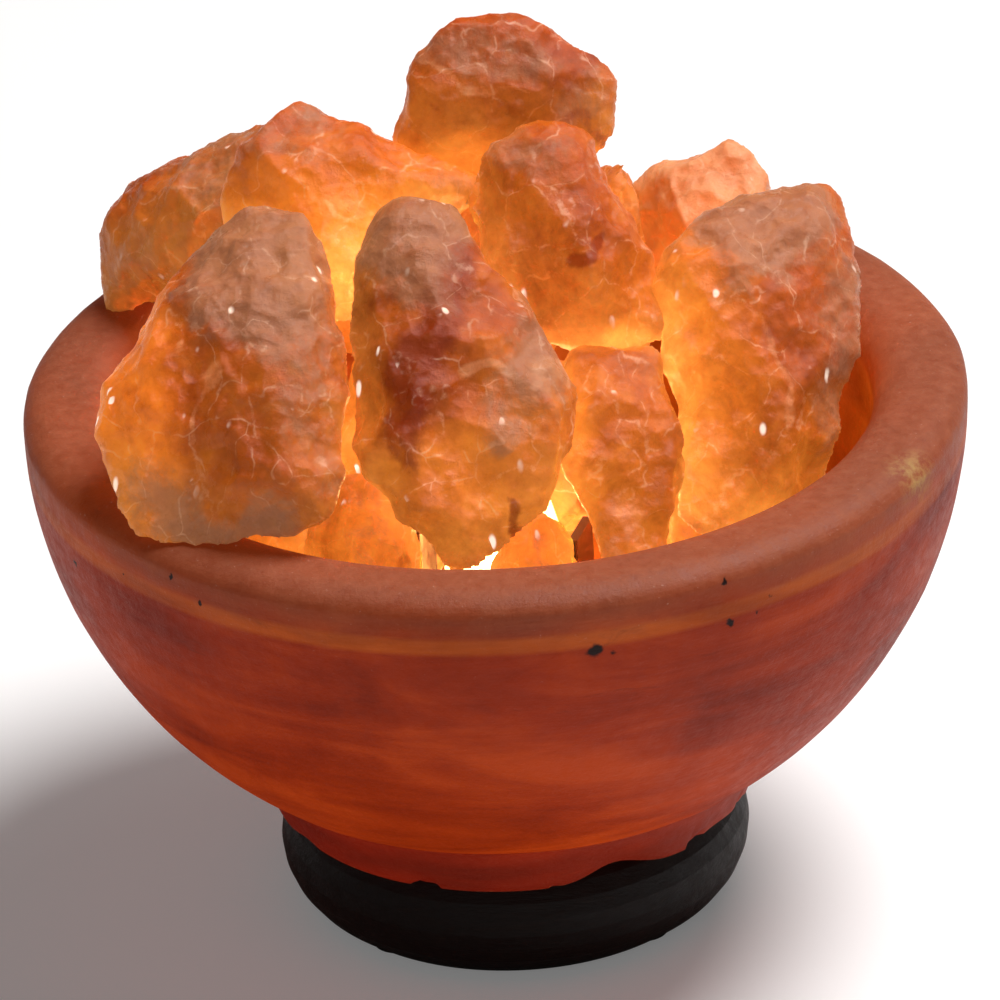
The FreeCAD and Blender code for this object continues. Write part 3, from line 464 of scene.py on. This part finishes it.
def salt_paint(name, look):
    seed = look.seed
    paint = Paint(name)
    shift = (seed * 0.137, seed * 0.291, seed * 0.073)
    where = paint.place(shift, (seed * 0.7, seed * 0.3, seed * 0.5))
    broad = paint.noise(where, 34.0, 6.0, 0.6, 0.8)
    fine = paint.noise(where, 260.0, 6.0, 0.7)
    tone = paint.math("MULTIPLY_ADD", fine, 0.35, paint.math("MULTIPLY", broad, 0.75))
    body = paint.ramp(tone, [(0.36, linear(126, 36, 6)), (0.54, linear(166, 62, 14)),
                             (0.74, linear(188, 94, 34))])
    kinds = paint.node("SeparateXYZ",
                       {0: paint.node("Attribute", attribute_name="kinds").outputs["Color"]})
    ragged = paint.math("MULTIPLY_ADD", paint.noise(where, 90.0, 8.0, 0.75, 0.6), 1.5, -0.75)
    masks = []
    for channel, low, high in ((0, 0.25, 0.75), (1, 0.3, 0.8), (2, 0.3, 0.8)):
        masks.append(paint.spread(paint.math("ADD", kinds.outputs[channel], ragged), low, high))
    crust, red, pale = masks
    # convex edges painted paler, partly frost and partly a painted highlight where the edges catch
    # the light
    ridge = paint.node("NewGeometry").outputs["Pointiness"]
    edge_frost_and_highlight = paint.math("MULTIPLY", paint.spread(ridge, 0.52, 0.6), 0.5)
    crust = paint.math("MAXIMUM", crust, edge_frost_and_highlight)
    body = paint.mix(pale, body, linear(226, 150, 108))
    body = paint.mix(paint.math("MULTIPLY", red, 0.7), body, linear(120, 34, 14))
    # the pale mauve-grey of the crust and its painted sheen
    frost_and_sheen = paint.mix(fine, linear(128, 74, 46), linear(190, 132, 96))
    body = paint.mix(paint.math("MULTIPLY", crust, 0.75), body, frost_and_sheen)
    drift = paint.node("TexNoise", {"Vector": where, "Scale": 60.0, "Detail": 3.0})
    bent = paint.node("VectorMath", {0: drift.outputs["Color"], 1: (0.02, 0.02, 0.02),
                                     2: where}, operation="MULTIPLY_ADD")
    cracks = paint.node("TexVoronoi", {"Vector": bent.outputs[0], "Scale": 75.0},
                        feature="DISTANCE_TO_EDGE").outputs["Distance"]
    line = paint.spread(cracks, 0.03, 0.0)
    line = paint.math("MULTIPLY", line, paint.spread(fine, 0.42, 0.62))
    body = paint.mix(paint.math("MULTIPLY", line, 0.45), body, linear(236, 196, 168))
    glint_place = paint.place(shift, (seed * 0.4, 0.6, seed * 0.2), (1, 1, 0.4))
    spark = glints(paint, glint_place, 520.0, 0.95)
    lit = paint.node("Attribute", attribute_name="glow").outputs["Color"]
    tint = paint.ramp(tone, [(0.36, (0.5, 0.36, 0.25)), (0.72, (1.35, 1.45, 1.4))])
    lit = paint.mix(1.0, lit, tint, "MULTIPLY")
    lit = paint.mix(paint.math("MULTIPLY", crust, 0.6), lit, (0.07, 0.035, 0.022))
    lit = paint.mix(paint.math("MULTIPLY", red, 0.7), lit, (0.06, 0.004, 0.0))
    # painted glints: pale emission spots
    lit = paint.mix(spark, lit, (0.75, 0.62, 0.5))
    gloss = paint.spread(paint.noise(where, 120.0, 4.0, 0.6), 0.35, 0.65, 0.14, 0.45)
    flakes = paint.node("TexVoronoi", {"Vector": where, "Scale": 330.0, "Randomness": 1.0})
    shards = paint.node("TexVoronoi", {"Vector": where, "Scale": 130.0, "Randomness": 1.0})
    grain = paint.noise(where, 900.0, 6.0, 0.75)
    relief = paint.bump(shards.outputs["Distance"], 0.35, 0.003)
    relief = paint.bump(flakes.outputs["Distance"], 0.4, 0.001, relief)
    relief = paint.bump(grain, 0.6, 0.0006, relief)
    return paint.principled(
        Base_Color=body, Roughness=gloss, IOR=1.54, Normal=relief, Specular_IOR_Level=0.3,
        Emission_Color=lit, Emission_Strength=1.4 * look.gain,
        Subsurface_Weight=0.2, Subsurface_Radius=(0.01, 0.004, 0.0015), Subsurface_Scale=1.0)


# millimetres: how far the shown stones stand proud of their solids, the nets' cells for
# stones that show and for hidden ones, and the least and greatest relief
STAND, SHOWN_CELL, HIDDEN_CELL = 2.0, 0.7, 1.2
DEEPEST, HIGHEST = -4.0, 0.4


def rough_stone(node):
    """The CAD stone with flaked faces, edges painted paler as frost and highlight, and crystal
    grain.
    """
    look = LOOKS.get(node, PLAIN_LOOK)
    seed = look.seed
    voxel = (SHOWN_CELL if node in LOOKS else HIDDEN_CELL) * MM
    name = node.replace("stone_", "rough_")
    piece = remeshed(NODES[node], name, voxel)
    mesh = piece.data
    points, normals = mesh_points(mesh), mesh_normals(mesh)
    flake = scallops(points, 16 * MM, 34 * MM, 0.1, seed)
    flake += 0.4 * scallops(points, 5 * MM, 8 * MM, 0.18, seed + 1)
    flake -= np.quantile(flake, 0.9)
    lumps = clouds(points, 9 * MM, seed, 4, 0.6) * 0.5 * MM
    grain = clouds(points, 2.0 * MM, seed + 5, 3, 0.7) * 0.16 * MM
    stand = (STAND if node in LOOKS else 0.0) * MM
    height = np.minimum(1.25 * flake + lumps, 0.3 * MM) + grain
    height = np.clip(height, DEEPEST * MM, HIGHEST * MM) + stand
    low, high = points.min(0), points.max(0)
    wobble = clouds(points, 14 * MM, seed + 9, 3) * 0.1
    across = (points[:, 0] - low[0]) / (high[0] - low[0]) + wobble
    up = (points[:, 2] - low[2]) / (high[2] - low[2]) + wobble
    height += marks(across, up, look.swollen) * MM
    grown = points + normals * height[:, None]
    grown[:, 2] = np.minimum(grown[:, 2], cad_box[1][2] - 0.0001)
    move_points(mesh, grown)
    kinds = [marks(across, up, features) for features in (look.crust, look.red, look.pale)]
    paint_points(mesh, "kinds", np.stack(kinds, 1))
    hot = 0.75 + marks(across, up, look.hot)
    paint_points(mesh, "glow", glow_through(mesh_points(mesh)) * hot[:, None])
    mesh.shade_smooth()
    wear(piece, salt_paint(name, look))
    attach(piece, BODY_OF[node])
    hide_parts(node)


# ---------------------------------------------------------------- turned bowl
def arc_points(start, end, radius, step):
    """Points along the shorter arc from start to end; a positive radius has its centre
    to the left of the way on."""
    start, end = np.array(start, float), np.array(end, float)
    chord = end - start
    span = np.linalg.norm(chord)
    side = np.array([-chord[1], chord[0]]) / span
    rise = math.sqrt(max(radius ** 2 - span ** 2 / 4, 0))
    centre = (start + end) / 2 + side * rise * (1 if radius > 0 else -1)
    first = math.atan2(*(start - centre)[::-1])
    last = math.atan2(*(end - centre)[::-1])
    turn = (last - first + math.pi) % (2 * math.pi) - math.pi
    count = max(2, int(abs(radius * turn) / step))
    angles = first + turn * np.arange(count) / count
    return [tuple(centre + abs(radius) * np.array([math.cos(a), math.sin(a)])) for a in angles]


def line_points(start, end, step):
    start, end = np.array(start, float), np.array(end, float)
    count = max(1, int(np.linalg.norm(end - start) / step))
    return [tuple(start + (end - start) * share / count) for share in range(count)]


# the bowl's section, in millimetres: radii, heights and bends
BOWL_RADIUS, BORE = 100.0, 20
BASE_TOP, CREASE, RIM = 25.7, 40.0, 121.3
FOOT_LOW, FOOT_TOP, BELLY_LOW = 52, 57.5, 61.3
BELLY_BEND, BELLY_CENTRE, BELLY_TOP = 95.4, (4.7, 113.5), 116.7
LIP_WIDE, LIP_TALL, LIP_INNER = 7.6, 4.6, 88
INNER_LIP, CAVITY_TOP = 8.0, 80
CAVITY_BEND, CAVITY_CENTRE, FLOOR_RADIUS, FLOOR = 73.0, (7, 113.3), 30, 44


def lip_points(step):
    """The rim's outer roll, a quarter of an ellipse that runs on from the belly."""
    count = int(LIP_WIDE * 1.3 / step)
    turns = [math.pi / 2 * share / count for share in range(count)]
    across, low = BOWL_RADIUS - LIP_WIDE, RIM - LIP_TALL
    return [(across + LIP_WIDE * math.cos(turn), low + LIP_TALL * math.sin(turn)) for turn in turns]


def bowl_outline(step):
    """The bowl's section as (radius, height) in millimetres, from the bore outwards."""
    floor_edge, cavity_edge = (FLOOR_RADIUS, FLOOR), (CAVITY_TOP, RIM - INNER_LIP)
    outline = line_points((BORE, BASE_TOP), (FOOT_LOW, BASE_TOP), step)
    outline += line_points((FOOT_LOW, BASE_TOP), (FOOT_TOP, CREASE), step)
    outline += line_points((FOOT_TOP, CREASE), (BELLY_LOW, CREASE), step)
    outline += arc_points((BELLY_LOW, CREASE), (BOWL_RADIUS, BELLY_TOP), BELLY_BEND, step)
    outline += lip_points(step * 0.5)
    outline += line_points((BOWL_RADIUS - LIP_WIDE, RIM), (LIP_INNER, RIM), step)
    outline += arc_points((LIP_INNER, RIM), cavity_edge, INNER_LIP, step * 0.6)
    outline += arc_points(cavity_edge, floor_edge, -CAVITY_BEND, step)
    outline += line_points(floor_edge, (BORE, FLOOR), step)
    outline += line_points((BORE, FLOOR), (BORE, BASE_TOP), step)
    return outline


def lathe_mesh(name, outline, around):
    """A closed surface of revolution about Z from an outline in millimetres."""
    rings = np.array(outline)
    angles = np.arange(around) * 2 * math.pi / around
    x = rings[:, 0, None] * np.cos(angles)
    y = rings[:, 0, None] * np.sin(angles)
    z = np.repeat(rings[:, 1, None], around, 1)
    points = np.stack([x, y, z], 2).reshape(-1, 3) * MM
    ring = np.arange(len(rings))[:, None] * around
    after = (np.arange(len(rings))[:, None] + 1) % len(rings) * around
    here = np.arange(around)[None, :]
    there = (here + 1) % around
    faces = np.stack([ring + here, ring + there, after + there, after + here], 2)
    mesh = bpy.data.meshes.new(name)
    mesh.from_pydata(points.tolist(), [], faces.reshape(-1, 4).tolist())
    mesh.update()
    return mesh


# azimuth from the front in degrees to the right, height and radius in mm
SPECKS = [(10.2, 107.8, 2.0), (12.5, 106.6, 1.1), (26.8, 118.0, 1.0), (27.3, 107.6, 1.3),
          (31.0, 108.4, 0.8), (7.9, 91.1, 0.9), (3.3, 88.5, 0.8), (18.9, 82.3, 0.8),
          (34.0, 74.6, 0.9), (35.6, 75.2, 0.9), (33.0, 110.7, 0.7), (-63.6, 105.1, 0.9),
          (-51.9, 111.3, 0.7), (-42.9, 116.3, 0.8), (-38.5, 112.6, 0.7), (-27.0, 100.3, 0.7),
          (-19.4, 67.0, 0.9), (-16.6, 67.8, 0.6)]
GREEN_SPOT = (60.5, 119.0, 10.0)
SPECK_SWAY = 0.0025     # how far a speck's edge wanders, in metres


def belly_radius(height):
    """The outside radius at a height, in millimetres, on the belly's arc."""
    across, level = BELLY_CENTRE
    return across + math.sqrt(BELLY_BEND ** 2 - (height - level) ** 2)


def near_spot(paint, where, spot, edge):
    """1 inside a spot on the bowl's outside, 0 beyond it."""
    azimuth, height, radius = spot
    turn = math.radians(azimuth)
    reach = belly_radius(height)
    centre = [reach * math.sin(turn) * MM, -reach * math.cos(turn) * MM, height * MM]
    apart = paint.node("VectorMath", {0: where, 1: centre}, operation="DISTANCE").outputs["Value"]
    return paint.spread(apart, radius * MM, radius * edge * MM)


def bowl_paint():
    paint = Paint("turned_salt")
    where = paint.place()
    height = paint.node("SeparateXYZ", {0: where}).outputs[2]
    slant = paint.place((0.3, 0.1, 0.2), (0.15, 0.5, 0.1), (1, 1, 4.5))
    band = paint.noise(slant, 15.0, 6.0, 0.6, 0.8)
    broad = paint.noise(where, 20.0, 5.0, 0.6, 0.3)
    fine = paint.noise(where, 330.0, 6.0, 0.7)
    dust_and_sparkle = paint.noise(where, 1100.0, 4.0, 0.7)
    tone = paint.math("MULTIPLY_ADD", band, 0.65, paint.math("MULTIPLY", broad, 0.45))
    body = paint.ramp(tone, [(0.42, linear(78, 14, 2)), (0.56, linear(104, 24, 4)),
                             (0.68, linear(130, 46, 14))])
    streak = paint.spread(paint.noise(slant, 42.0, 6.0, 0.7, 1.0), 0.6, 0.74)
    body = paint.mix(paint.math("MULTIPLY", streak, 0.5), body, linear(60, 18, 8))
    ragged = paint.math("MULTIPLY_ADD", paint.noise(where, 28.0, 6.0, 0.65, 0.5), 0.02, height)
    # the lip's pale frost: partly real frost and partly a painted highlight band along the top of
    # the rim
    lip = paint.spread(ragged, 0.117, 0.131)
    frost_and_sheen = paint.mix(fine, linear(106, 48, 28), linear(166, 104, 76))
    body = paint.mix(paint.math("MULTIPLY", lip, 0.8), body, frost_and_sheen)
    foot = paint.spread(height, 0.042, 0.039)
    body = paint.mix(paint.math("MULTIPLY", foot, 0.55), body, linear(104, 60, 42))
    green = near_spot(paint, where, GREEN_SPOT, 0.1)
    green = paint.math("MULTIPLY", green, paint.spread(fine, 0.4, 0.65))
    body = paint.mix(paint.math("MULTIPLY", green, 0.6), body, linear(172, 152, 92))
    dark = 0.0
    drift = paint.node("TexNoise", {"Vector": where, "Scale": 500.0}).outputs["Color"]
    wavy = paint.node("VectorMath", {0: drift, 1: (SPECK_SWAY,) * 3, 2: where},
                      operation="MULTIPLY_ADD")
    centred = paint.node("VectorMath", {0: wavy.outputs[0], 1: (SPECK_SWAY / 2,) * 3},
                         operation="SUBTRACT").outputs[0]
    for spot in SPECKS:
        dark = paint.math("MAXIMUM", dark, near_spot(paint, centred, spot, 0.5))
    body = paint.mix(dark, body, linear(32, 10, 6))
    lit = paint.node("Attribute", attribute_name="glow").outputs["Color"]
    tint = paint.ramp(tone, [(0.4, (0.55, 0.4, 0.3)), (0.7, (1.25, 1.35, 1.4))])
    lit = paint.mix(1.0, lit, tint, "MULTIPLY")
    lit = paint.mix(paint.math("MULTIPLY", streak, 0.3), lit, (0.02, 0.0, 0.0))
    lit = paint.mix(paint.math("MULTIPLY", lip, 0.5), lit, (0.01, 0.004, 0.002))
    lit = paint.mix(dark, lit, (0.0, 0.0, 0.0))
    # painted sparkle: small pale emission specks, most of them on the lip
    painted_sparkle = paint.spread(dust_and_sparkle, 0.66, 0.72)
    lit = paint.mix(paint.math("MULTIPLY", painted_sparkle, paint.math("MULTIPLY_ADD", lip, 0.4, 0.1)),
                    lit, (0.3, 0.22, 0.18))
    rings = paint.noise(paint.place((0, 0, 0), (0, 0, 0), (0.04, 0.04, 1)), 900.0, 3.0, 0.6)
    relief = paint.bump(rings, 0.25, 0.0005)
    relief = paint.bump(fine, 0.4, 0.0006, relief)
    relief = paint.bump(dust_and_sparkle, 0.5, 0.0003, relief)
    rough = paint.spread(fine, 0.3, 0.7, 0.42, 0.62)
    return paint.principled(
        Base_Color=body, Roughness=rough, IOR=1.54, Normal=relief, Specular_IOR_Level=0.16,
        Emission_Color=lit, Emission_Strength=1.3,
        Subsurface_Weight=0.15, Subsurface_Radius=(0.01, 0.004, 0.002), Subsurface_Scale=1.0)


CHIPS_REACH = 9                                  # mm up the foot
NOTCH_AT, NOTCH_WIDE, NOTCH_DEEP = 24, 9, 1.6    # degrees, degrees, mm


def chip_foot(points):
    """The foot's lower edge broken away in small bites, with one long shallow notch."""
    radius = np.hypot(points[:, 0], points[:, 1])
    azimuth = np.degrees(np.arctan2(points[:, 0], -points[:, 1]))
    low = (BASE_TOP + CHIPS_REACH) * MM
    edge = np.clip((low - points[:, 2]) / (CHIPS_REACH * MM), 0, 1) * (radius > 0.045)
    bites = np.clip(clouds(points * (1, 1, 0.3), 7 * MM, 71, 3) - 0.35, 0, 1)
    notch = np.exp(-((azimuth - NOTCH_AT) / NOTCH_WIDE) ** 2) * NOTCH_DEEP
    ends = np.clip(clouds(points * (1, 1, 0.3), 16 * MM, 73, 2) - 0.1, 0, 1)
    deep = (bites * 1.1 + notch + ends * 0.7) * edge * MM
    moved = points.copy()
    moved[:, 2] += np.where(points[:, 2] < low, deep * 1.6, 0)
    moved[:, :2] *= (1 - deep / radius)[:, None]
    sway = clouds(points, 30 * MM, 77, 3) * 0.25 * MM * (radius > 0.03)
    moved[:, :2] *= (1 - np.abs(sway) / radius)[:, None]
    return moved


# salt between the lamp and the bowl's skin, in millimetres, as the glow sees it
WALLS = {"inside": 45.0, "outside": 100.0, "lip": 80.0, "foot": 190.0}


def salt_bowl():
    step, around = ((1.2, 720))
    mesh = lathe_mesh("turned_bowl", bowl_outline(step), around)
    piece = link_object("turned_bowl", mesh)
    points = mesh_points(mesh)
    radius = np.hypot(points[:, 0], points[:, 1]) / MM
    height = points[:, 2] / MM
    across, middle = CAVITY_CENTRE
    dish = middle - np.sqrt(np.maximum(CAVITY_BEND ** 2 - (radius - across) ** 2, 0))
    level = np.where(radius < FLOOR_RADIUS, FLOOR, dish)
    outside = height < level - 4
    wall = np.where(outside, WALLS["outside"], WALLS["inside"])
    wall = np.where(height > 113, WALLS["lip"], wall)
    wall = np.where(height < 41, WALLS["foot"], wall) * MM
    points = chip_foot(points)
    move_points(mesh, points)
    paint_points(mesh, "glow", glow_through(points, wall))
    mesh.shade_smooth()
    wear(piece, bowl_paint())
    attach(piece, BODY_OF["salt_bowl"])
    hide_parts("salt_bowl")


# ---------------------------------------------------------------- the other parts
def wood_paint():
    paint = Paint("stained_wood")
    along = paint.place((0.2, 0.1, 0), (0, 0, 0.35), (1, 14, 14))
    grain = paint.noise(along, 26.0, 6.0, 0.65, 0.4)
    fine = paint.noise(along, 120.0, 5.0, 0.7)
    tone = paint.math("MULTIPLY_ADD", fine, 0.4, paint.math("MULTIPLY", grain, 0.7))
    body = paint.ramp(tone, [(0.35, linear(9, 5, 4)), (0.6, linear(20, 13, 10)),
                             (0.8, linear(44, 34, 26))])
    relief = paint.bump(grain, 0.4, 0.0006)
    relief = paint.bump(fine, 0.5, 0.0004, relief)
    rough = paint.spread(grain, 0.3, 0.7, 0.42, 0.62)
    return paint.principled(Base_Color=body, Roughness=rough, Normal=relief,
                            Specular_IOR_Level=0.3)


def plain_paint(name, colour, rough, metal=0.0, scale=400.0, **more):
    paint = Paint(name)
    fine = paint.noise(paint.place(), scale, 4.0)
    dim = [value * 0.75 for value in colour]
    bright = [min(value * 1.2, 1) for value in colour]
    tone = paint.mix(fine, dim, bright)
    spread = paint.spread(fine, 0.3, 0.7, rough * 0.8, min(rough * 1.2, 1))
    relief = paint.bump(fine, 0.15, 0.0002)
    return paint.principled(Base_Color=tone, Roughness=spread, Metallic=metal,
                            Normal=relief, **more)


def glass_paint():
    paint = Paint("bulb_glass")
    smear = paint.noise(paint.place(), 60.0, 3.0)
    rough = paint.spread(smear, 0.3, 0.7, 0.02, 0.08)
    return paint.principled(Base_Color=(1.0, 0.93, 0.8), Roughness=rough, IOR=1.5,
                            Transmission_Weight=0.9, Emission_Color=(1.0, 0.6, 0.2),
                            Emission_Strength=2.2)


def dress_nodes():
    brass = plain_paint("brass", linear(200, 160, 92), 0.3, 1.0)
    steel = plain_paint("zinc_steel", linear(178, 178, 174), 0.35, 1.0)
    nickel = plain_paint("nickel_cap", linear(196, 190, 176), 0.28, 1.0)
    spring = plain_paint("spring_steel", linear(120, 96, 76), 0.38, 1.0)
    black = plain_paint("black_moulding", linear(30, 29, 29), 0.45)
    white = plain_paint("white_ceramic", linear(226, 222, 212), 0.6)
    paints = {
        "wooden_base": wood_paint(),
        "base_pads": plain_paint("felt", linear(38, 36, 36), 0.95, scale=2500.0),
        "base_screws": steel, "screw_plugs": plain_paint("plug", linear(205, 202, 192), 0.55),
        "holder_cap": black, "holder_body": black, "inlet_nipple": brass, "clip_nut": brass,
        "contact_insert": white, "terminal_screws": brass, "side_contact": brass,
        "screw_shell": brass, "centre_contact": brass, "spring_clip": spring,
        "bulb_glass": glass_paint(), "bulb_screw_cap": nickel,
        "bulb_insulator": plain_paint("black_glass", linear(24, 24, 28), 0.15),
        "bulb_tip": nickel, "bulb_stem": glass_paint(), "lead_wires": nickel,
        "filament": plain_paint("hot_filament", (1.0, 0.8, 0.5), 0.5,
                                Emission_Color=(1.0, 0.75, 0.4), Emission_Strength=30.0),
    }
    for name, material in paints.items():
        wear(NODES[name], material)


def bulb_light():
    data = bpy.data.lights.new("lamp_glow", "POINT")
    data.energy = 0.5
    data.color = (1.0, 0.66, 0.3)
    data.shadow_soft_size = 0.011
    lamp = link_object("lamp_glow", data)
    lamp.location = (0, 0, 0.082)
    lamp.visible_camera = False


aim_camera()
light_scene()
make_floor()
dress_nodes()
for stone_node in STONE_NODES:
    rough_stone(stone_node)
salt_bowl()
bulb_light()
NODES["bulb_glass"].visible_shadow = False
